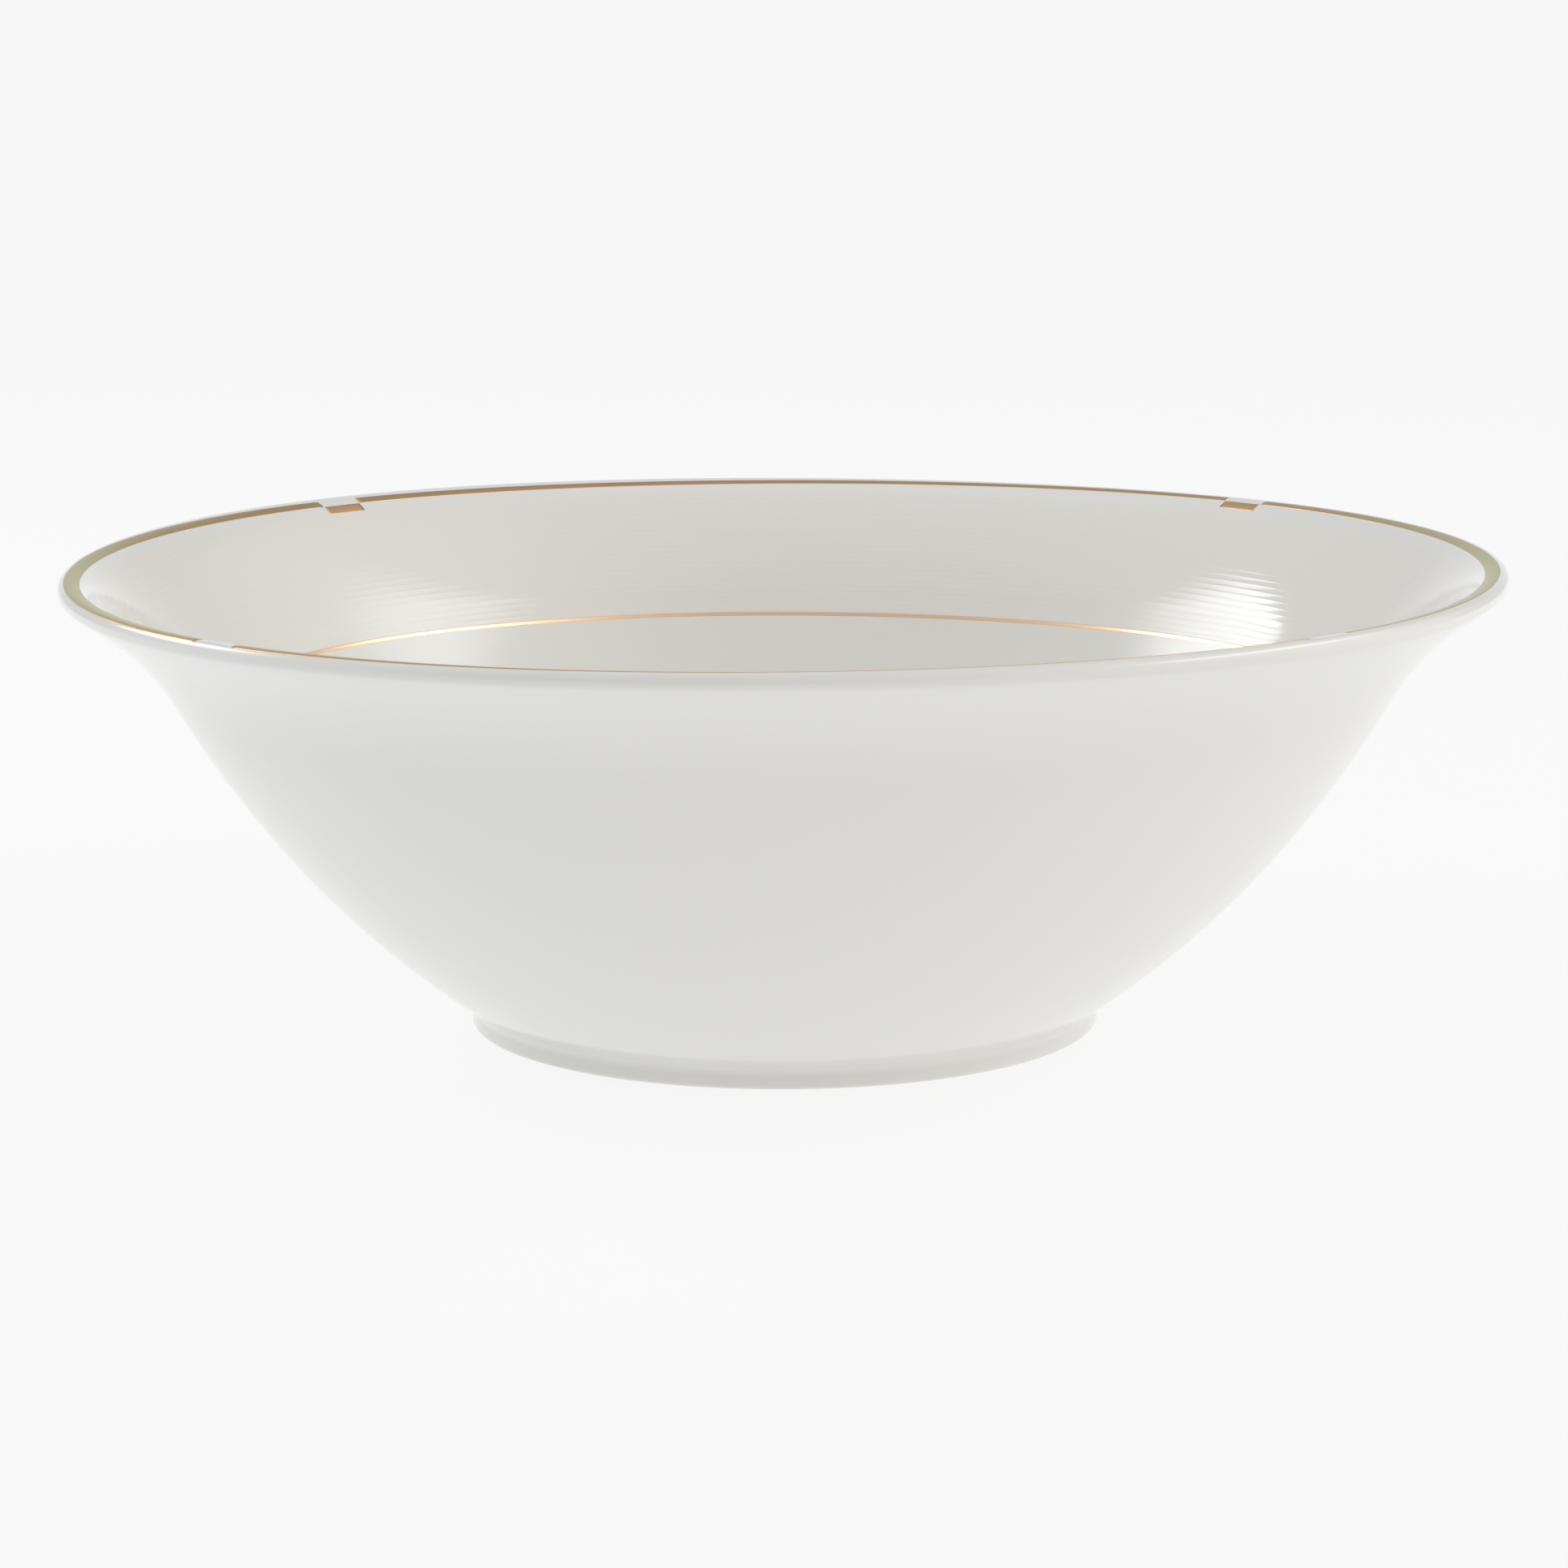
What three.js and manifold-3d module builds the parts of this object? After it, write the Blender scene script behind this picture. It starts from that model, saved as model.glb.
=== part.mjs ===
// A round porcelain serving bowl: one fired body on a low foot ring, with a flared rim,
// a gold band broken by four stepped gold blocks, a transfer print of fine rings inside
// the flare, and a thin gold line where the flare meets the bowl.
// Millimetres, +Z up, origin at the centre of the plane the foot ring stands on.

import * as THREE from 'three';
import Module from 'manifold-3d';
import { mergeVertices } from 'three/addons/utils/BufferGeometryUtils.js';

const wasm = await Module();
wasm.setup();

// ---- Driving dimensions ----

const RIM_RADIUS = 125;
const HEIGHT = 80.9;
const WALL = 3.2;
const LIP_RADIUS = 1.6;

// The shoulder is where the outside wall stops bending outward and starts to flare.
const SHOULDER_RADIUS = 106.1;
const SHOULDER_HEIGHT = 59.8;
const SHOULDER_SLOPE = 60.4;
const HEEL_SLOPE = 34.6;
const RIM_SLOPE = 40.1;

const FOOT_RADIUS = 55.1;
const FOOT_NECK_RADIUS = 54.9;
const FOOT_NECK_HEIGHT = 1.95;
const FOOT_FILLET = 2.5;
const FOOT_EDGE = 0.6;
const BEARING_WIDTH = 3.2;
const RECESS_DEPTH = 3.2;
const RECESS_SLOPE_RUN = 2.4;
const RECESS_RISE = 0.4;

const FLOOR_RADIUS = 40;
const FLOOR_HEIGHT = 7.2;

// How far each end of a curved stretch keeps to its tangent: Bezier handle lengths.
const HEEL_HANDLE = 28.3;
const BELLY_HANDLE = 22;
const UNDER_FLARE_HANDLE = 12.5;
const UNDER_RIM_HANDLE = 4;
const WELL_HANDLE = 30;
const INNER_BELLY_HANDLE = 14.7;
const INNER_SHOULDER_HANDLE = 3;
const INNER_RIM_HANDLE = 7.2;

// Decoration edges, as fractions along the curve that they lie on.
const LINE_LOW = 0.895;
const LINE_HIGH = 0.906;
const BLOCK_INNER = 0.775;
const BAND_INNER = 0.89;

const BLOCK_COUNT = 4;
const FIRST_BLOCK_ANGLE = 43.8;
const BLOCK_SPAN = 4.2;
const BLOCK_END_GAP = 0.05;

// Each layer of decoration lies just clear of the glaze and of the layer beside it.
const LAYER_GAP = 0.03;
const LAYER_EDGE_GAP = 0.08;
const LAYER_THICKNESS = 0.15;

const ROUND_SEGMENTS = 60;
const CUTTER_REACH = 200;

const RIGHT_ANGLE = Math.PI / 2;
const radians = THREE.MathUtils.degToRad;

// ---- Materials ----

const porcelain = new THREE.MeshStandardMaterial({ color: 0xe9e8e3, roughness: 0.12, metalness: 0 });
const gold = new THREE.MeshStandardMaterial({ color: 0xc9a06a, roughness: 0.25, metalness: 1 });
const print = new THREE.MeshStandardMaterial({ color: 0xe4e0d8, roughness: 0.2, metalness: 0 });

// ---- Outline helpers: points are (radius, height) ----

function along(angle, length) {
  return new THREE.Vector2(Math.cos(angle), Math.sin(angle)).multiplyScalar(length);
}

// A curve that leaves one point and reaches the next along the given tangents.
function blend(start, startAngle, startHandle, end, endAngle, endHandle) {
  const first = start.clone().add(along(startAngle, startHandle));
  const second = end.clone().sub(along(endAngle, endHandle));
  return new THREE.CubicBezierCurve(start, first, second, end);
}

// Points of a curve between two fractions of it, the first one left out.
function stretch(curve, from, to, steps) {
  const points = [];
  for (let i = 1; i <= steps; i += 1) {
    points.push(curve.getPoint(THREE.MathUtils.lerp(from, to, i / steps)));
  }
  return points;
}

// Points of a round from one angle to another, both ends included.
function round(centre, radius, fromAngle, toAngle, steps) {
  const points = [];
  for (let i = 0; i <= steps; i += 1) {
    const angle = THREE.MathUtils.lerp(fromAngle, toAngle, i / steps);
    points.push(centre.clone().add(along(angle, radius)));
  }
  return points;
}

// ---- The bowl's outline ----

const shoulder = new THREE.Vector2(SHOULDER_RADIUS, SHOULDER_HEIGHT);
const shoulderAngle = radians(SHOULDER_SLOPE);
const lipCentre = new THREE.Vector2(RIM_RADIUS - LIP_RADIUS, HEIGHT - LIP_RADIUS);
const rimAngle = radians(RIM_SLOPE);
const crest = lipCentre.clone().add(along(RIGHT_ANGLE, LIP_RADIUS));

// The inside of the shoulder lies one wall thickness in from the outside.
const innerShoulder = shoulder.clone().add(along(shoulderAngle + RIGHT_ANGLE, WALL));
const floorEdge = new THREE.Vector2(FLOOR_RADIUS, FLOOR_HEIGHT);
const innerWall = blend(
  floorEdge, 0, WELL_HANDLE,
  innerShoulder, shoulderAngle, INNER_BELLY_HANDLE,
);
const innerFlare = blend(
  innerShoulder, shoulderAngle, INNER_SHOULDER_HANDLE,
  crest, 0, INNER_RIM_HANDLE,
);

// The stretches of the inside surface, from the floor up, that carry each decoration.
const belowLine = stretch(innerWall, 0, LINE_LOW, 8);
const goldLine = stretch(innerWall, LINE_LOW, LINE_HIGH, 1);
const printed = [
  ...stretch(innerWall, LINE_HIGH, 1, 1),
  ...stretch(innerFlare, 0, BLOCK_INNER, 6),
];
const blockTrack = stretch(innerFlare, BLOCK_INNER, BAND_INNER, 2);
const bandTrack = stretch(innerFlare, BAND_INNER, 1, 3);

function lastOf(points) {
  return points[points.length - 1];
}

// From the middle of the recess under the bowl, out round the foot ring to the wall.
function footOutline() {
  const edgeRadius = FOOT_RADIUS - FOOT_EDGE;
  const bearingInner = edgeRadius - BEARING_WIDTH;
  const heelAngle = radians(HEEL_SLOPE);
  const filletCentre = new THREE.Vector2(FOOT_NECK_RADIUS + FOOT_FILLET, FOOT_NECK_HEIGHT);
  return [
    new THREE.Vector2(0, RECESS_DEPTH + RECESS_RISE),
    new THREE.Vector2(bearingInner - RECESS_SLOPE_RUN, RECESS_DEPTH),
    new THREE.Vector2(bearingInner, 0),
    ...round(new THREE.Vector2(edgeRadius, FOOT_EDGE), FOOT_EDGE, -RIGHT_ANGLE, 0, 3),
    ...round(filletCentre, FOOT_FILLET, Math.PI, heelAngle + RIGHT_ANGLE, 4),
  ];
}

// From the foot up the outside wall and the flare, then over the lip to its crest.
function outsideOutline(heel) {
  const wall = blend(
    heel, radians(HEEL_SLOPE), HEEL_HANDLE,
    shoulder, shoulderAngle, BELLY_HANDLE,
  );
  const underRim = lipCentre.clone().add(along(rimAngle - RIGHT_ANGLE, LIP_RADIUS));
  const flare = blend(
    shoulder, shoulderAngle, UNDER_FLARE_HANDLE,
    underRim, rimAngle, UNDER_RIM_HANDLE,
  );
  return [
    ...stretch(wall, 0, 1, 10),
    ...stretch(flare, 0, 1, 5),
    ...round(lipCentre, LIP_RADIUS, rimAngle - RIGHT_ANGLE, RIGHT_ANGLE, 6).slice(1),
  ];
}

// From the crest down the inside to the middle of the floor.
function insideOutline() {
  const fromFloor = [floorEdge, ...belowLine, ...goldLine, ...printed, ...blockTrack, ...bandTrack];
  const fromCrest = fromFloor.reverse().slice(1);
  return [...fromCrest, new THREE.Vector2(0, FLOOR_HEIGHT)];
}

// ---- Solids ----

function revolve(outline) {
  const geometry = new THREE.LatheGeometry(outline, ROUND_SEGMENTS);
  return geometry.rotateX(RIGHT_ANGLE);
}

// The same track, ending a little short of its neighbours at both ends.
function shortened(track) {
  const points = track.map((point) => point.clone());
  const end = points.length - 1;
  const step = (from, to) => to.clone().sub(from).setLength(LAYER_EDGE_GAP);
  points[0].add(step(track[0], track[1]));
  points[end].add(step(track[end], track[end - 1]));
  return points;
}

// The outline of a thin layer lying on a track of the inside surface, closed on itself.
function layerOutline(fullTrack) {
  const track = shortened(fullTrack);
  const offset = (distance) => track.map((point, i) => {
    const before = track[Math.max(i - 1, 0)];
    const after = track[Math.min(i + 1, track.length - 1)];
    const tangent = after.clone().sub(before).angle();
    return point.clone().add(along(tangent + RIGHT_ANGLE, distance));
  });
  const under = offset(LAYER_GAP);
  const top = offset(LAYER_GAP + LAYER_THICKNESS).reverse();
  return [...under, ...top, under[0].clone()];
}

function toSolid(geometry) {
  const bare = geometry.clone();
  bare.deleteAttribute('normal');
  bare.deleteAttribute('uv');
  const merged = mergeVertices(bare);
  return new wasm.Manifold(new wasm.Mesh({
    numProp: 3,
    vertProperties: new Float32Array(merged.attributes.position.array),
    triVerts: new Uint32Array(merged.index.array),
  }));
}

function toGeometry(solid) {
  const mesh = solid.getMesh();
  const geometry = new THREE.BufferGeometry();
  geometry.setAttribute('position', new THREE.BufferAttribute(mesh.vertProperties, mesh.numProp));
  geometry.setIndex(new THREE.BufferAttribute(mesh.triVerts, 1));
  geometry.computeVertexNormals();
  return geometry;
}

// A tall wedge about the axis, between two angles in degrees.
function wedge(fromAngle, toAngle) {
  const middle = (fromAngle + toAngle) / 2;
  const outline = [new THREE.Vector2(0, 0)];
  for (const angle of [fromAngle, middle, toAngle]) {
    outline.push(along(radians(angle), CUTTER_REACH));
  }
  return new THREE.ExtrudeGeometry(new THREE.Shape(outline), {
    depth: 2 * HEIGHT,
    bevelEnabled: false,
  });
}

function arcOfRing(outline, fromAngle, toAngle) {
  const ring = toSolid(revolve(outline));
  return toGeometry(ring.intersect(toSolid(wedge(fromAngle, toAngle))));
}

// ---- Sub-parts ----

const bowl = new THREE.Group();
bowl.name = 'porcelain_serving_bowl';

function addPart(name, geometry, material) {
  const mesh = new THREE.Mesh(geometry, material);
  mesh.name = name;
  bowl.add(mesh);
  return mesh;
}

// The same piece repeated evenly round the rim.
function addRoundRim(name, geometry, material) {
  for (let i = 0; i < BLOCK_COUNT; i += 1) {
    const mesh = addPart(`${name}_${i + 1}`, geometry, material);
    mesh.rotation.z = (i * 2 * Math.PI) / BLOCK_COUNT;
  }
}

function porcelainBody() {
  const foot = footOutline();
  const outline = [...foot, ...outsideOutline(lastOf(foot)), ...insideOutline()];
  addPart('porcelain_body', revolve(outline), porcelain);
}

// The band runs along the crest and stops short at each block.
function rimGoldArcs() {
  const outline = layerOutline([lastOf(blockTrack), ...bandTrack]);
  const halfGap = BLOCK_SPAN / 2;
  const from = FIRST_BLOCK_ANGLE + halfGap;
  const to = FIRST_BLOCK_ANGLE + 360 / BLOCK_COUNT - halfGap;
  addRoundRim('rim_gold_arc', arcOfRing(outline, from, to), gold);
}

// Each block fills a break in the band, one band width further in.
function rimGoldBlocks() {
  const track = [lastOf(printed), ...blockTrack];
  const outline = layerOutline(track);
  const half = BLOCK_SPAN / 2 - BLOCK_END_GAP;
  const geometry = arcOfRing(outline, FIRST_BLOCK_ANGLE - half, FIRST_BLOCK_ANGLE + half);
  addRoundRim('rim_gold_block', geometry, gold);
}

function ringPrint() {
  const outline = layerOutline([lastOf(goldLine), ...printed]);
  addPart('ring_print', revolve(outline), print);
}

function shoulderGoldLine() {
  const outline = layerOutline([lastOf(belowLine), ...goldLine]);
  addPart('shoulder_gold_line', revolve(outline), gold);
}

porcelainBody();
rimGoldArcs();
rimGoldBlocks();
ringPrint();
shoulderGoldLine();

export default bowl;
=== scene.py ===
"""A porcelain serving bowl with a gold rim band, gold blocks, a fine ring print and a gold line.

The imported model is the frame. Each CAD node is stood for by a finer piece built on the same outline:
the glazed body, the four arcs and four blocks of the rim band, the ridged ring print and the line.
Lengths are in metres and angles in degrees, +Z up, the bowl standing on z = 0.
"""

import math

import bpy
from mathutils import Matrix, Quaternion, Vector


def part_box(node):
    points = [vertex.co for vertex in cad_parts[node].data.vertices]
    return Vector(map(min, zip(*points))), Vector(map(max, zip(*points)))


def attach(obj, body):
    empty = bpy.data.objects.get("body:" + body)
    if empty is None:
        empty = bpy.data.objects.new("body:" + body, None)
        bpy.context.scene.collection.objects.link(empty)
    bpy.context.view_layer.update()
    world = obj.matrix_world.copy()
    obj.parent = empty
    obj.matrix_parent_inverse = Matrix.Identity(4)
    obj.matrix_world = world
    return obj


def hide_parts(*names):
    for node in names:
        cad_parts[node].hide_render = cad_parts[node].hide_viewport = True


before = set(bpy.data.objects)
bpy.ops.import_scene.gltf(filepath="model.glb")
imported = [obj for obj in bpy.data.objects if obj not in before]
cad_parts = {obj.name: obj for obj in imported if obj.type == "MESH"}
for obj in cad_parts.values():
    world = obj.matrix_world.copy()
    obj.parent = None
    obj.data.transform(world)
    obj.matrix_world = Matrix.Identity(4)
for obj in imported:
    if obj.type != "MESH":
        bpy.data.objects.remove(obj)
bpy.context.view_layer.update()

MM = 0.001

# ---- The outline's driving sizes ----

body_low, body_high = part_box("porcelain_body")
RIM_RADIUS = body_high.x
HEIGHT = body_high.z
WALL = 3.2 * MM
LIP_RADIUS = 1.6 * MM

SHOULDER = (106.1 * MM, 59.8 * MM)
SHOULDER_SLOPE = 60.4
HEEL_SLOPE = 34.6
RIM_SLOPE = 40.1

FOOT_RADIUS = 55.1 * MM
FOOT_NECK_RADIUS = 54.9 * MM
FOOT_NECK_HEIGHT = 1.95 * MM
FOOT_FILLET = 2.5 * MM
FOOT_EDGE = 0.6 * MM
BEARING_WIDTH = 3.2 * MM
RECESS_DEPTH = 3.2 * MM
RECESS_SLOPE_RUN = 2.4 * MM
RECESS_RISE = 0.4 * MM
RECESS_EDGE_SLOPE = -70
RECESS_HANDLE = 1.2 * MM

FLOOR_RADIUS = 40 * MM
FLOOR_HEIGHT = 7.2 * MM

HEEL_HANDLE = 28.3 * MM
BELLY_HANDLE = 22 * MM
UNDER_FLARE_HANDLE = 12.5 * MM
UNDER_RIM_HANDLE = 4 * MM
WELL_HANDLE = 30 * MM
INNER_BELLY_HANDLE = 14.7 * MM
INNER_SHOULDER_HANDLE = 3 * MM
INNER_RIM_HANDLE = 7.2 * MM

# The rim left the kiln a little out of true, in slow waves round it. A wave is its height and its phase.
# The first of each set of waves has one crest round the rim, the second two, and so on.
WARP_WAVES = ((0.46 * MM, 53), (0.38 * MM, -94), (0.33 * MM, 70))

# ---- The decoration, as distances down the inside surface from the lip's crest ----

# The band was laid by hand, so its edges drift in slow waves too.
BAND_START = 0.35 * MM
BAND_START_WAVES = ((1.1 * MM, 87), (0.6 * MM, -130), (0.2 * MM, 58))
BAND_END = 2.7 * MM
BAND_END_WAVES = ((0.46 * MM, 101), (0.48 * MM, -100), (0.2 * MM, 23))
BLOCK_WIDTH = 2.2 * MM
BLOCK_CLEARANCE = 0.05 * MM
LINE_START = 33.6 * MM
LINE_WIDTH = 0.75 * MM

# The gold band breaks at each block: angles round the bowl, and how far each block strays from its place.
BLOCK_COUNT = 4
FIRST_BLOCK_ANGLE = 43.8
BLOCK_DRIFTS = (-0.5, 1.2, 0.5, -0.4)
BLOCK_SPAN = 4.2
BLOCK_END_GAP = 0.04

# The print's raised rings: each takes up a fraction of its pitch, and the rest is flat.
RING_COUNT = 22
RING_PITCH = 1.27 * MM
RING_HEIGHT = 0.012 * MM
RING_FRACTION = 0.5
PRINT_HEIGHT = 0.012 * MM

# Gold thins at its edges: (fraction of the edge's width, fraction of the gold's height).
GOLD_HEIGHT = 0.03 * MM
GOLD_EDGE = 0.12 * MM
GOLD_EDGE_PROFILE = ((0, -0.2), (0.15, 0.5), (0.5, 0.9), (1, 1))
ROOT_DEPTH = 0.04 * MM

# ---- How finely the meshes are cut ----

BODY_SEGMENTS = 400
LAYER_SEGMENTS = 360
ARC_STEPS = 160
BLOCK_STEPS = 16
GOLD_STEPS = 8
RING_STEPS = 8
ROOT_STRIDE = 8
RECESS_STEPS = 8
FOOT_EDGE_STEPS = 6
FOOT_FILLET_STEPS = 12
OUTER_WALL_STEPS = 48
OUTER_FLARE_STEPS = 24
LIP_STEPS = 20
INSIDE_STEPS = 60

RIGHT_ANGLE = 90


# ---- Outline curves: points are (radius, height) ----


def heading(angle, length):
    """A step of that length at that angle above the horizontal."""
    turn = math.radians(angle)
    return Vector((math.cos(turn), math.sin(turn))) * length


def blend(start, start_angle, start_handle, end, end_angle, end_handle):
    """A Bezier curve as a function of 0 to 1, along the given tangents at its ends."""
    p0, p3 = Vector(start), Vector(end)
    p1 = p0 + heading(start_angle, start_handle)
    p2 = p3 - heading(end_angle, end_handle)

    def at(t):
        s = 1 - t
        return p0 * s**3 + p1 * (3 * s * s * t) + p2 * (3 * s * t * t) + p3 * t**3

    return at


def sample(curve, steps):
    """Points of a curve from 0 to 1, the first one left out."""
    return [curve(i / steps) for i in range(1, steps + 1)]


def round_off(centre, radius, start_angle, end_angle, steps):
    """Points of an arc, both ends included."""
    span = end_angle - start_angle
    return [centre + heading(start_angle + span * i / steps, radius) for i in range(steps + 1)]


LIP_CENTRE = Vector((RIM_RADIUS - LIP_RADIUS, HEIGHT - LIP_RADIUS))
CREST = LIP_CENTRE + heading(RIGHT_ANGLE, LIP_RADIUS)
INNER_SHOULDER = Vector(SHOULDER) + heading(SHOULDER_SLOPE + RIGHT_ANGLE, WALL)
FLOOR_EDGE = Vector((FLOOR_RADIUS, FLOOR_HEIGHT))


def foot_outline():
    """From the axis under the bowl, over the foot ring, to the heel where the wall starts."""
    edge_radius = FOOT_RADIUS - FOOT_EDGE
    bearing_inner = edge_radius - BEARING_WIDTH
    edge_centre = Vector((edge_radius, FOOT_EDGE))
    fillet_centre = Vector((FOOT_NECK_RADIUS + FOOT_FILLET, FOOT_NECK_HEIGHT))
    heel_angle = HEEL_SLOPE + RIGHT_ANGLE
    recess_edge = Vector((bearing_inner - RECESS_SLOPE_RUN, RECESS_DEPTH))
    inner_slope = blend(
        recess_edge, 0, RECESS_HANDLE,
        (bearing_inner, 0), RECESS_EDGE_SLOPE, RECESS_HANDLE,
    )
    return [
        Vector((0, RECESS_DEPTH + RECESS_RISE)),
        recess_edge,
        *sample(inner_slope, RECESS_STEPS),
        *round_off(edge_centre, FOOT_EDGE, -RIGHT_ANGLE, 0, FOOT_EDGE_STEPS),
        *round_off(fillet_centre, FOOT_FILLET, 2 * RIGHT_ANGLE, heel_angle, FOOT_FILLET_STEPS),
    ]


def outside_outline(heel):
    """From the heel up the outside and over the lip to its crest."""
    under_rim = LIP_CENTRE + heading(RIM_SLOPE - RIGHT_ANGLE, LIP_RADIUS)
    wall = blend(heel, HEEL_SLOPE, HEEL_HANDLE, SHOULDER, SHOULDER_SLOPE, BELLY_HANDLE)
    flare = blend(SHOULDER, SHOULDER_SLOPE, UNDER_FLARE_HANDLE, under_rim, RIM_SLOPE, UNDER_RIM_HANDLE)
    lip = round_off(LIP_CENTRE, LIP_RADIUS, RIM_SLOPE - RIGHT_ANGLE, RIGHT_ANGLE, LIP_STEPS)
    return [*sample(wall, OUTER_WALL_STEPS), *sample(flare, OUTER_FLARE_STEPS), *lip[1:]]


def inside_outline():
    """From the crest down to the edge of the floor."""
    flare = blend(INNER_SHOULDER, SHOULDER_SLOPE, INNER_SHOULDER_HANDLE, CREST, 0, INNER_RIM_HANDLE)
    wall = blend(FLOOR_EDGE, 0, WELL_HANDLE, INNER_SHOULDER, SHOULDER_SLOPE, INNER_BELLY_HANDLE)
    upward = [FLOOR_EDGE, *sample(wall, INSIDE_STEPS), *sample(flare, INSIDE_STEPS)]
    return upward[::-1]


INSIDE = inside_outline()
OUTER_LIP = round_off(LIP_CENTRE, LIP_RADIUS, 0, RIGHT_ANGLE, LIP_STEPS)


def walk(path, distance):
    """(point, normal) that far along a path, the normal to its right."""
    for a, b in zip(path, path[1:]):
        step = (b - a).length
        if distance <= step:
            break
        distance -= step
    direction = (b - a).normalized()
    return a + direction * distance, Vector((direction.y, -direction.x))


def inside_at(distance):
    """(point, normal) that far down the inside from the crest, or down the lip's outside if negative."""
    if distance < 0:
        point, normal = walk(OUTER_LIP[::-1], -distance)
        return point, -normal
    return walk(INSIDE, distance)


# ---- Meshes ----


def make_piece(name, vertices, faces, node, material):
    mesh = bpy.data.meshes.new(name)
    mesh.from_pydata(vertices, [], faces)
    mesh.validate()
    mesh.shade_smooth()
    mesh.materials.append(material)
    piece = bpy.data.objects.new(name, mesh)
    bpy.context.scene.collection.objects.link(piece)
    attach(piece, "root")
    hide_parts(node)
    return piece


def drifting(mean, waves, angle):
    """A length that drifts in slow waves round the bowl, at an angle."""
    numbered = enumerate(waves, start=1)
    return mean + sum(height * math.cos(math.radians(k * angle - phase)) for k, (height, phase) in numbered)


def on_circle(point, angle):
    """An outline point turned to an angle and lifted with the kiln warp, which grows toward the rim."""
    turn = math.radians(angle)
    warp = drifting(0, WARP_WAVES, angle) * (max(point.y, 0) / HEIGHT) ** 2
    return (point.x * math.cos(turn), point.x * math.sin(turn), point.y + warp)


def revolved(outline):
    """A closed solid of revolution from an outline that starts and ends on the axis."""
    rings = outline[1:-1]
    step = 360 / BODY_SEGMENTS
    vertices = [on_circle(point, i * step) for point in rings for i in range(BODY_SEGMENTS)]
    faces = []
    for ring in range(len(rings) - 1):
        low, high = ring * BODY_SEGMENTS, (ring + 1) * BODY_SEGMENTS
        for i in range(BODY_SEGMENTS):
            j = (i + 1) % BODY_SEGMENTS
            faces.append((low + i, low + j, high + j, high + i))
    first, last = len(vertices), len(vertices) + 1
    vertices += [on_circle(outline[0], 0), on_circle(outline[-1], 0)]
    top = (len(rings) - 1) * BODY_SEGMENTS
    for i in range(BODY_SEGMENTS):
        j = (i + 1) % BODY_SEGMENTS
        faces.append((first, j, i))
        faces.append((last, top + i, top + j))
    return vertices, faces


def layer(section, angles, closed):
    """A thin closed layer on the inside surface.

    section(angle) gives its top as (distance, lift) pairs. Its root lies in the glaze, where a few of the
    same distances are enough.
    """
    vertices = []
    for angle in angles:
        strip = section(angle)
        top = [(inside_at(distance), lift) for distance, lift in strip]
        under = [*strip[:-1:ROOT_STRIDE], strip[-1]]
        root = [(inside_at(distance), -ROOT_DEPTH) for distance, _ in reversed(under)]
        vertices += [on_circle(point + normal * lift, angle) for (point, normal), lift in top + root]
    slices = len(angles)
    count = len(vertices) // slices
    faces = []
    for k in range(slices if closed else slices - 1):
        here, there = k * count, (k + 1) % slices * count
        for i in range(count):
            j = (i + 1) % count
            faces.append((here + i, here + j, there + j, there + i))
    if not closed:
        faces.append(tuple(range(count))[::-1])
        faces.append(tuple(range((slices - 1) * count, slices * count)))
    return vertices, faces


def evenly(start, end, steps):
    return [start + (end - start) * i / steps for i in range(steps + 1)]


def soft_edged(start, end):
    """A strip of gold across, as (distance, lift) pairs, thinning to nothing at its edges."""
    rise = [(start + across * GOLD_EDGE, lift * GOLD_HEIGHT) for across, lift in GOLD_EDGE_PROFILE]
    flat = evenly(start + GOLD_EDGE, end - GOLD_EDGE, GOLD_STEPS)[1:-1]
    middle = [(distance, GOLD_HEIGHT) for distance in flat]
    fall = [(end - across * GOLD_EDGE, lift * GOLD_HEIGHT) for across, lift in reversed(GOLD_EDGE_PROFILE)]
    return rise + middle + fall


# ---- Materials ----

GLAZE_ROUGHNESS = 0.09
GLAZE_IOR = 1.5
GLAZE_CLOUDS = 18
GLAZE_CLOUD_SHADE = 0.985
GOLD_GRAIN = 900
GOLD_SMOOTHEST, GOLD_ROUGHEST = 0.24, 0.36
BISCUIT_COLOUR = (0.78, 0.76, 0.71)
BISCUIT_GRAIN = 1500
BISCUIT_GRAIN_HEIGHT = 0.1 * MM
BISCUIT_BUMP = 0.2
BISCUIT_ROUGHNESS = 0.7


def new_material(name):
    material = bpy.data.materials.new(name)
    material.use_nodes = True
    nodes = material.node_tree.nodes
    return material, nodes, material.node_tree.links, nodes["Principled BSDF"]


def noise(nodes, links, scale, detail):
    """Procedural noise over the object's own space."""
    place = nodes.new("ShaderNodeTexCoord")
    texture = nodes.new("ShaderNodeTexNoise")
    texture.inputs["Scale"].default_value = scale
    texture.inputs["Detail"].default_value = detail
    links.new(place.outputs["Object"], texture.inputs["Vector"])
    return texture.outputs["Fac"]


def porcelain_material(name, base, specular_level=0.5):
    """White porcelain under a clear glaze, its white very slightly clouded."""
    material, nodes, links, shader = new_material(name)
    tint = nodes.new("ShaderNodeMix")
    tint.data_type = "RGBA"
    tint.inputs["A"].default_value = (*base, 1)
    tint.inputs["B"].default_value = (*[channel * GLAZE_CLOUD_SHADE for channel in base], 1)
    links.new(noise(nodes, links, GLAZE_CLOUDS, 3), tint.inputs["Factor"])
    links.new(tint.outputs["Result"], shader.inputs["Base Color"])
    shader.inputs["Roughness"].default_value = GLAZE_ROUGHNESS
    shader.inputs["IOR"].default_value = GLAZE_IOR
    shader.inputs["Specular IOR Level"].default_value = specular_level
    return material


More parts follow.
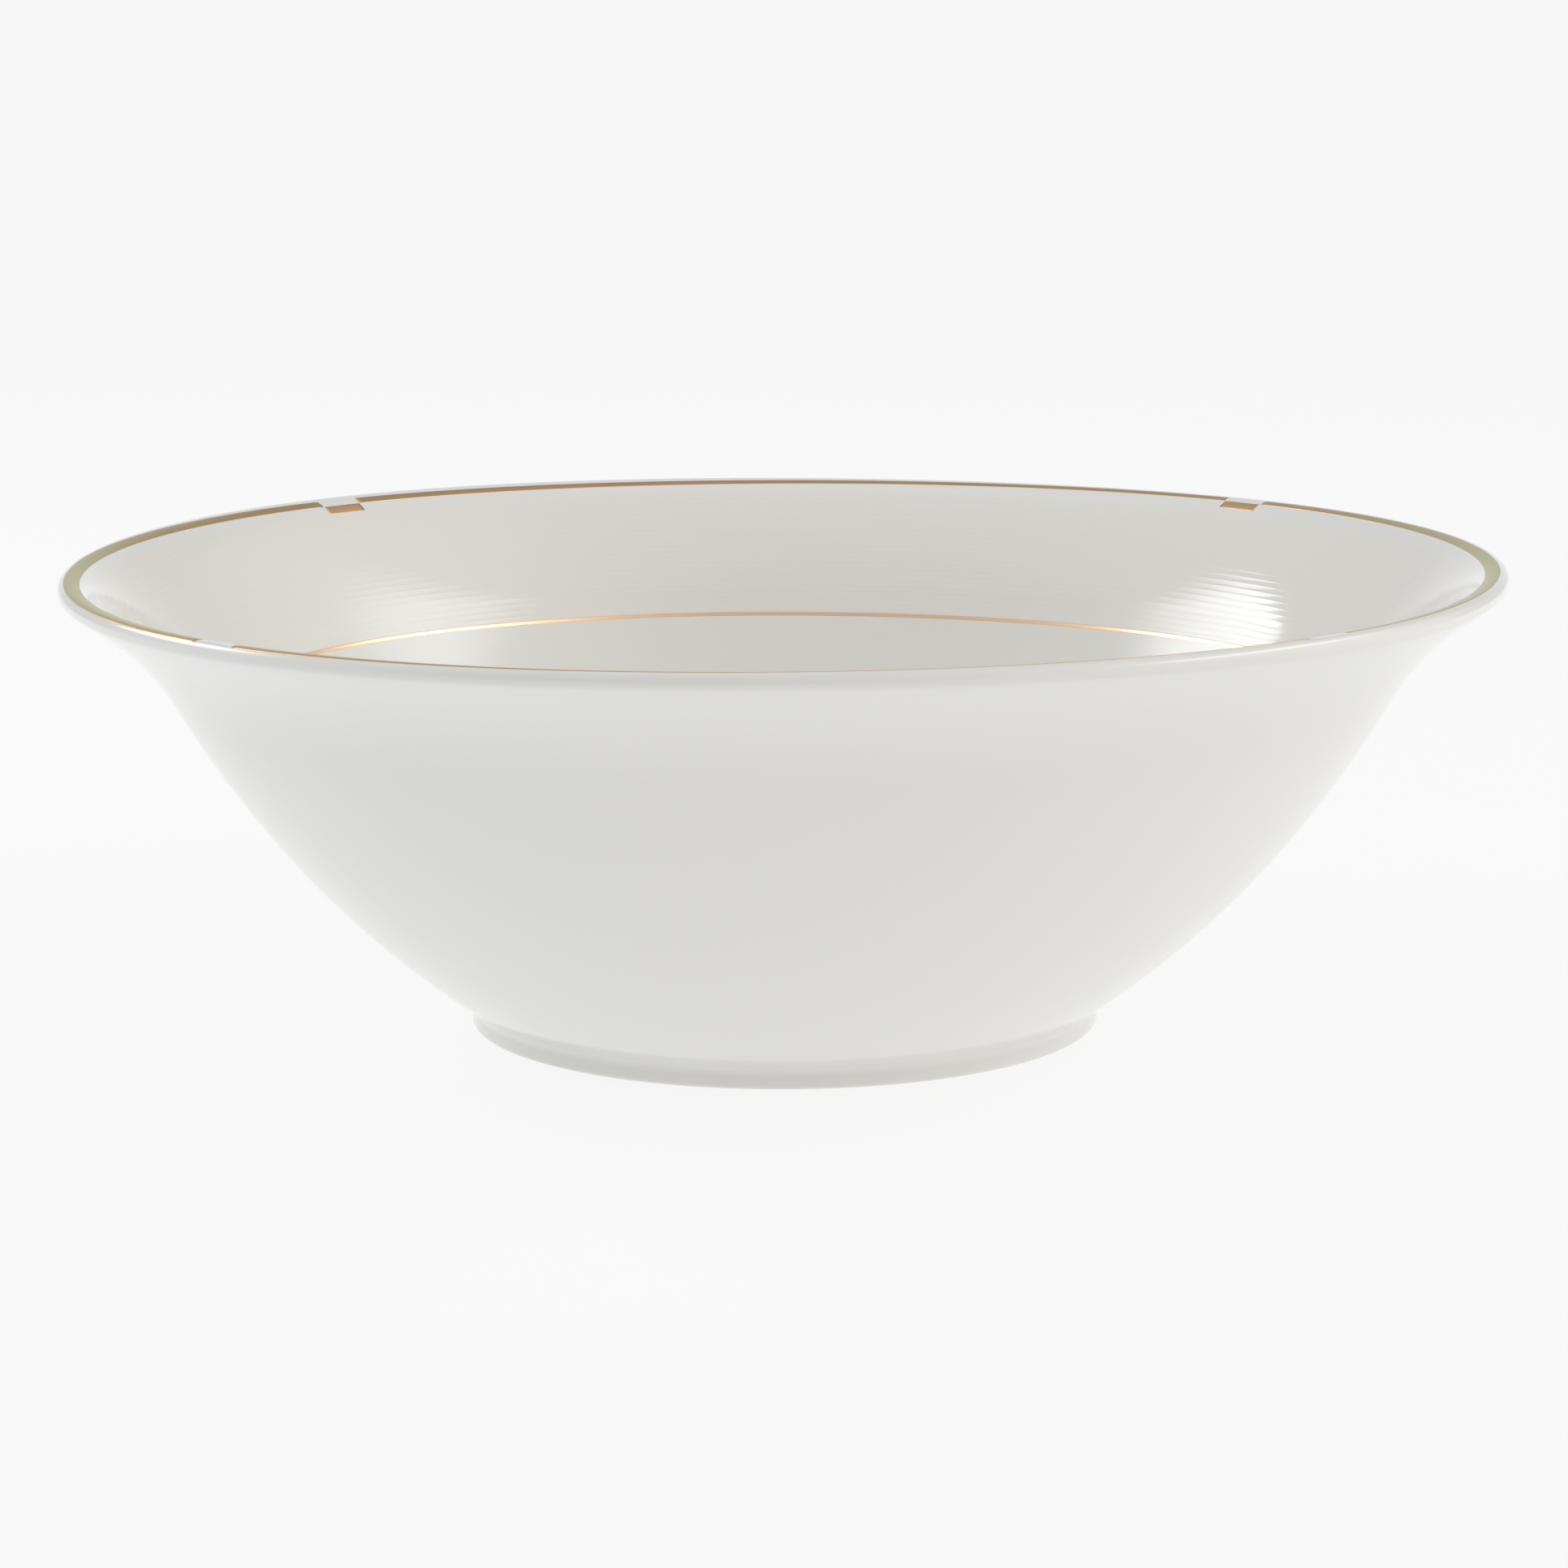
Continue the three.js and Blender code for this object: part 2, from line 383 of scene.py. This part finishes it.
def gold_material(name, base, grazing_tint):
    """Fired gold with a slightly uneven polish."""
    material, nodes, links, shader = new_material(name)
    spread = nodes.new("ShaderNodeMapRange")
    spread.inputs["To Min"].default_value = GOLD_SMOOTHEST
    spread.inputs["To Max"].default_value = GOLD_ROUGHEST
    links.new(noise(nodes, links, GOLD_GRAIN, 4), spread.inputs["Value"])
    links.new(spread.outputs["Result"], shader.inputs["Roughness"])
    shader.inputs["Base Color"].default_value = (*base, 1)
    shader.inputs["Metallic"].default_value = 1
    shader.inputs["Specular Tint"].default_value = (*grazing_tint, 1)
    return material


def biscuit_material():
    """Unglazed porcelain, ground flat where the bowl stands."""
    material, nodes, links, shader = new_material("bare_porcelain")
    bump = nodes.new("ShaderNodeBump")
    bump.inputs["Strength"].default_value = BISCUIT_BUMP
    bump.inputs["Distance"].default_value = BISCUIT_GRAIN_HEIGHT
    links.new(noise(nodes, links, BISCUIT_GRAIN, 2), bump.inputs["Height"])
    links.new(bump.outputs["Normal"], shader.inputs["Normal"])
    shader.inputs["Base Color"].default_value = (*BISCUIT_COLOUR, 1)
    shader.inputs["Roughness"].default_value = BISCUIT_ROUGHNESS
    return material


PRINT_COLOUR = (0.815, 0.79, 0.735)
glaze = porcelain_material("glazed_porcelain", (0.80, 0.795, 0.765))
# The well's copy of the glaze is painted warm light, standing in for light bounced round inside the bowl:
# the same glaze, coloured warmer.
well_painted_light_glaze = porcelain_material("glaze_with_painted_warm_light", (0.80, 0.78, 0.735))
ring_glaze = porcelain_material("ring_print", PRINT_COLOUR)
ring_line_glaze = porcelain_material("ring_print_lines", PRINT_COLOUR, specular_level=0.42)
gold = gold_material("fired_gold", (0.95, 0.58, 0.30), (0.68, 1, 1))
line_gold = gold_material("thin_fired_gold", (0.80, 0.55, 0.36), (0.95, 0.97, 1))
biscuit = biscuit_material()


# ---- Pieces ----

# A face belongs to the ground foot if it points down this steeply and lies this close to the table.
DOWNWARD = -0.7
GROUND_REACH = 0.3 * FOOT_EDGE


def add_material(piece, material):
    """The slot index of a further material on the piece."""
    piece.data.materials.append(material)
    return len(piece.data.materials) - 1


def glazed_body():
    """The porcelain itself: glazed, with painted warm light in the well below the line, and bare under the
    foot.
    """
    foot = foot_outline()
    outline = [*foot, *outside_outline(foot[-1]), *INSIDE[1:], Vector((0, FLOOR_HEIGHT))]
    vertices, faces = revolved(outline)
    piece = make_piece("glazed_body", vertices, faces, "porcelain_body", glaze)
    bare = add_material(piece, biscuit)
    # The well below the line gets the warmer copy of the glaze: painted warm bounce light, not a colour of
    # the porcelain.
    painted_warm_light = add_material(piece, well_painted_light_glaze)
    line_radius = inside_at(LINE_START)[0].x
    for face in piece.data.polygons:
        inside = face.normal.z > 0 and face.center.z > FLOOR_HEIGHT - WALL
        if inside and face.center.xy.length < line_radius:
            face.material_index = painted_warm_light
        if face.normal.z < DOWNWARD and face.center.z < GROUND_REACH:
            face.material_index = bare


def band_section(angle):
    start = drifting(BAND_START, BAND_START_WAVES, angle)
    return soft_edged(start, drifting(BAND_END, BAND_END_WAVES, angle))


def block_section(angle):
    start = drifting(BAND_END, BAND_END_WAVES, angle) + BLOCK_CLEARANCE
    return soft_edged(start, start + BLOCK_WIDTH)


def block_angle(k):
    return FIRST_BLOCK_ANGLE + k * 360 / BLOCK_COUNT + BLOCK_DRIFTS[k % BLOCK_COUNT]


def rim_gold():
    """The broken band: an arc from each block to the next, and the block one band width further in."""
    half = BLOCK_SPAN / 2
    for k in range(BLOCK_COUNT):
        centre = block_angle(k)
        arc_angles = evenly(centre + half, block_angle(k + 1) - half, ARC_STEPS)
        vertices, faces = layer(band_section, arc_angles, False)
        make_piece(f"gold_arc_{k + 1}", vertices, faces, f"rim_gold_arc_{k + 1}", gold)
        block_angles = evenly(centre - half + BLOCK_END_GAP, centre + half - BLOCK_END_GAP, BLOCK_STEPS)
        vertices, faces = layer(block_section, block_angles, False)
        make_piece(f"gold_block_{k + 1}", vertices, faces, f"rim_gold_block_{k + 1}", gold)


def whole_turn():
    return evenly(0, 360, LAYER_SEGMENTS)[:-1]


def ring_section(_):
    """Fine raised rings, each a low rounded ridge with a flat space beside it."""
    start = LINE_START - RING_COUNT * RING_PITCH
    strip = [(start - GOLD_EDGE, -PRINT_HEIGHT)]
    for ring in range(RING_COUNT):
        for i in range(RING_STEPS):
            across = i / RING_STEPS
            rise = math.sin(math.pi * across / RING_FRACTION) if across < RING_FRACTION else 0
            strip.append((start + (ring + across) * RING_PITCH, PRINT_HEIGHT + rise * rise * RING_HEIGHT))
    return strip + [(LINE_START, -PRINT_HEIGHT)]


def ring_print():
    """The ring print. Its ridges have a material of their own, a little less mirror-like."""
    vertices, faces = layer(ring_section, whole_turn(), True)
    piece = make_piece("printed_rings", vertices, faces, "ring_print", ring_glaze)
    ridge = add_material(piece, ring_line_glaze)
    faces_across = len(faces) // LAYER_SEGMENTS
    ring_faces = RING_COUNT * RING_STEPS
    for face in piece.data.polygons:
        step = face.index % faces_across - 1
        if 0 <= step < ring_faces and step % RING_STEPS < RING_FRACTION * RING_STEPS:
            face.material_index = ridge


def line_section(_):
    return soft_edged(LINE_START, LINE_START + LINE_WIDTH)


def gold_line():
    vertices, faces = layer(line_section, whole_turn(), True)
    make_piece("gold_line", vertices, faces, "shoulder_gold_line", line_gold)


glazed_body()
rim_gold()
ring_print()
gold_line()

# ---- Setting ----

BACKGROUND = 0.939
FLOOR_SIZE = 40
FLOOR_GLOW = 0.84
FLOOR_BASE = 0.12
LOBE_SHARPNESS = 6

CAMERA_EYE = Vector((0, -0.8074, 0.1895))
CAMERA_AIM = Vector((0, 0, 0.0414))
CAMERA_ROLL = -0.19
CAMERA_LENS = 107.4
CAMERA_SENSOR = 36
NEAREST, FARTHEST = 0.05, 100

LAMP_TINT = (0.94, 0.97, 1)
NEUTRAL = (1, 1, 1)
WARM = (1.1, 1, 0.88)
COOL = (0.95, 1, 1.07)


def plain_floor():
    """An even pale floor with a glow of its own, like a lit sweep under a product photograph."""
    half = FLOOR_SIZE / 2
    mesh = bpy.data.meshes.new("floor")
    corners = [(-half, -half, 0), (half, -half, 0), (half, half, 0), (-half, half, 0)]
    mesh.from_pydata(corners, [], [(0, 1, 2, 3)])
    material, _, _, shader = new_material("floor")
    shader.inputs["Base Color"].default_value = (FLOOR_BASE, FLOOR_BASE, FLOOR_BASE, 1)
    shader.inputs["Emission Color"].default_value = (1, 1, 1, 1)
    shader.inputs["Emission Strength"].default_value = FLOOR_GLOW
    shader.inputs["Roughness"].default_value = 1
    shader.inputs["Specular IOR Level"].default_value = 0
    mesh.materials.append(material)
    floor = bpy.data.objects.new("floor", mesh)
    bpy.context.scene.collection.objects.link(floor)


def toward(azimuth, elevation):
    """A direction from the bowl. Azimuth 0 is the camera's side and 90 the right-hand side."""
    turn, rise = math.radians(azimuth), math.radians(elevation)
    return Vector((math.sin(turn) * math.cos(rise), -math.cos(turn) * math.cos(rise), math.sin(rise)))


def softbox(name, azimuth, elevation, distance, shape, width, height, radiance, fades):
    """A flat lamp facing the bowl, invisible to the camera.

    Each fade is (axis, dark end, bright end). From one end to the other, as fractions of the lamp's width
    (X) or height (Y), the light rises smoothly from nothing to full strength.
    """
    light = bpy.data.lights.new(name, "AREA")
    light.shape = shape
    light.size = width
    light.size_y = height
    light.energy = radiance * width * height * math.pi
    light.color = LAMP_TINT
    light.use_nodes = True
    nodes, links = light.node_tree.nodes, light.node_tree.links
    place = nodes.new("ShaderNodeNewGeometry")
    split = nodes.new("ShaderNodeSeparateXYZ")
    links.new(place.outputs["Parametric"], split.inputs["Vector"])
    strength = nodes["Emission"].inputs["Strength"]
    for axis, dark_end, bright_end in fades:
        product = nodes.new("ShaderNodeMath")
        product.operation = "MULTIPLY"
        product.inputs[0].default_value = 1
        ramp = nodes.new("ShaderNodeMapRange")
        ramp.interpolation_type = "SMOOTHSTEP"
        ramp.inputs["From Min"].default_value = dark_end
        ramp.inputs["From Max"].default_value = bright_end
        links.new(split.outputs[axis], ramp.inputs["Value"])
        links.new(ramp.outputs["Result"], product.inputs[1])
        links.new(product.outputs["Value"], strength)
        strength = product.inputs[0]
    lamp = bpy.data.objects.new(name, light)
    away = toward(azimuth, elevation)
    lamp.location = Vector((0, 0, HEIGHT / 2)) + away * distance
    lamp.rotation_mode = "QUATERNION"
    lamp.rotation_quaternion = away.to_track_quat("Z", "Y")
    lamp.visible_camera = False
    bpy.context.scene.collection.objects.link(lamp)


def studio_world(lobes):
    """Soft light from all round, each lobe fading slowly away from its direction.

    The camera sees an even white backdrop in its place.
    """
    world = bpy.data.worlds.new("studio")
    world.use_nodes = True
    nodes, links = world.node_tree.nodes, world.node_tree.links
    nodes.clear()
    look = nodes.new("ShaderNodeTexCoord")
    total = None
    for azimuth, elevation, brightness, tint in lobes:
        along = nodes.new("ShaderNodeVectorMath")
        along.operation = "DOT_PRODUCT"
        along.inputs[1].default_value = toward(azimuth, elevation)
        links.new(look.outputs["Generated"], along.inputs[0])
        front = nodes.new("ShaderNodeMath")
        front.operation = "MAXIMUM"
        front.inputs[1].default_value = 0
        links.new(along.outputs["Value"], front.inputs[0])
        falloff = nodes.new("ShaderNodeMath")
        falloff.operation = "POWER"
        falloff.inputs[1].default_value = LOBE_SHARPNESS
        links.new(front.outputs["Value"], falloff.inputs[0])
        glow = nodes.new("ShaderNodeVectorMath")
        glow.operation = "SCALE"
        glow.inputs[0].default_value = [channel * brightness for channel in tint]
        links.new(falloff.outputs["Value"], glow.inputs["Scale"])
        added = nodes.new("ShaderNodeVectorMath")
        added.operation = "ADD"
        links.new(glow.outputs["Vector"], added.inputs[0])
        if total is not None:
            links.new(total, added.inputs[1])
        total = added.outputs["Vector"]
    light = nodes.new("ShaderNodeBackground")
    links.new(total, light.inputs["Color"])
    light.inputs["Strength"].default_value = 1
    backdrop = nodes.new("ShaderNodeBackground")
    backdrop.inputs["Color"].default_value = (1, 1, 1, 1)
    backdrop.inputs["Strength"].default_value = BACKGROUND
    rays = nodes.new("ShaderNodeLightPath")
    seen = nodes.new("ShaderNodeMixShader")
    links.new(rays.outputs["Is Camera Ray"], seen.inputs["Fac"])
    links.new(light.outputs["Background"], seen.inputs[1])
    links.new(backdrop.outputs["Background"], seen.inputs[2])
    output = nodes.new("ShaderNodeOutputWorld")
    links.new(seen.outputs["Shader"], output.inputs["Surface"])
    bpy.context.scene.world = world


def camera():
    """A long lens a little above the rim, from the front, rolled by a fifth of a degree."""
    data = bpy.data.cameras.new("camera")
    data.lens = CAMERA_LENS
    data.sensor_width = CAMERA_SENSOR
    data.clip_start = NEAREST
    data.clip_end = FARTHEST
    piece = bpy.data.objects.new("camera", data)
    piece.location = CAMERA_EYE
    piece.rotation_mode = "QUATERNION"
    level = (CAMERA_EYE - CAMERA_AIM).to_track_quat("Z", "Y")
    piece.rotation_quaternion = level @ Quaternion((0, 0, 1), math.radians(CAMERA_ROLL))
    bpy.context.scene.collection.objects.link(piece)
    bpy.context.scene.camera = piece


# The soft light from all round, as (azimuth, elevation, brightness, tint).
SOFT_LIGHT = (
    (45, 8, 0.5, WARM),
    (90, 8, 0.85, NEUTRAL),
    (180, -12, 1.2, NEUTRAL),
    (-90, 8, 0.8, COOL),
    (0, 40, 0.3, NEUTRAL),
    (45, 40, 0.25, WARM),
    (90, 40, 0.7, NEUTRAL),
    (135, 40, 0.3, COOL),
    (-135, 40, 0.5, NEUTRAL),
    (-90, 40, 0.35, NEUTRAL),
    (-45, 40, 0.35, NEUTRAL),
    (0, 80, 0.45, COOL),
)

plain_floor()
softbox(
    "right_softbox", azimuth=88, elevation=39, distance=1.0, shape="RECTANGLE", width=1.1, height=0.4,
    radiance=3.0, fades=(("X", 0, 0.3), ("X", 1, 0.6), ("Y", 0, 0.4), ("Y", 1, 0.7)),
)
softbox(
    "left_softbox", azimuth=-108, elevation=27, distance=1.0, shape="ELLIPSE", width=0.83, height=0.65,
    radiance=4.8, fades=(("X", 0.92, 0.3), ("Y", 0.36, 0.58), ("Y", 1, 0.8)),
)
studio_world(SOFT_LIGHT)
camera()
bpy.context.scene.view_settings.view_transform = "Standard"
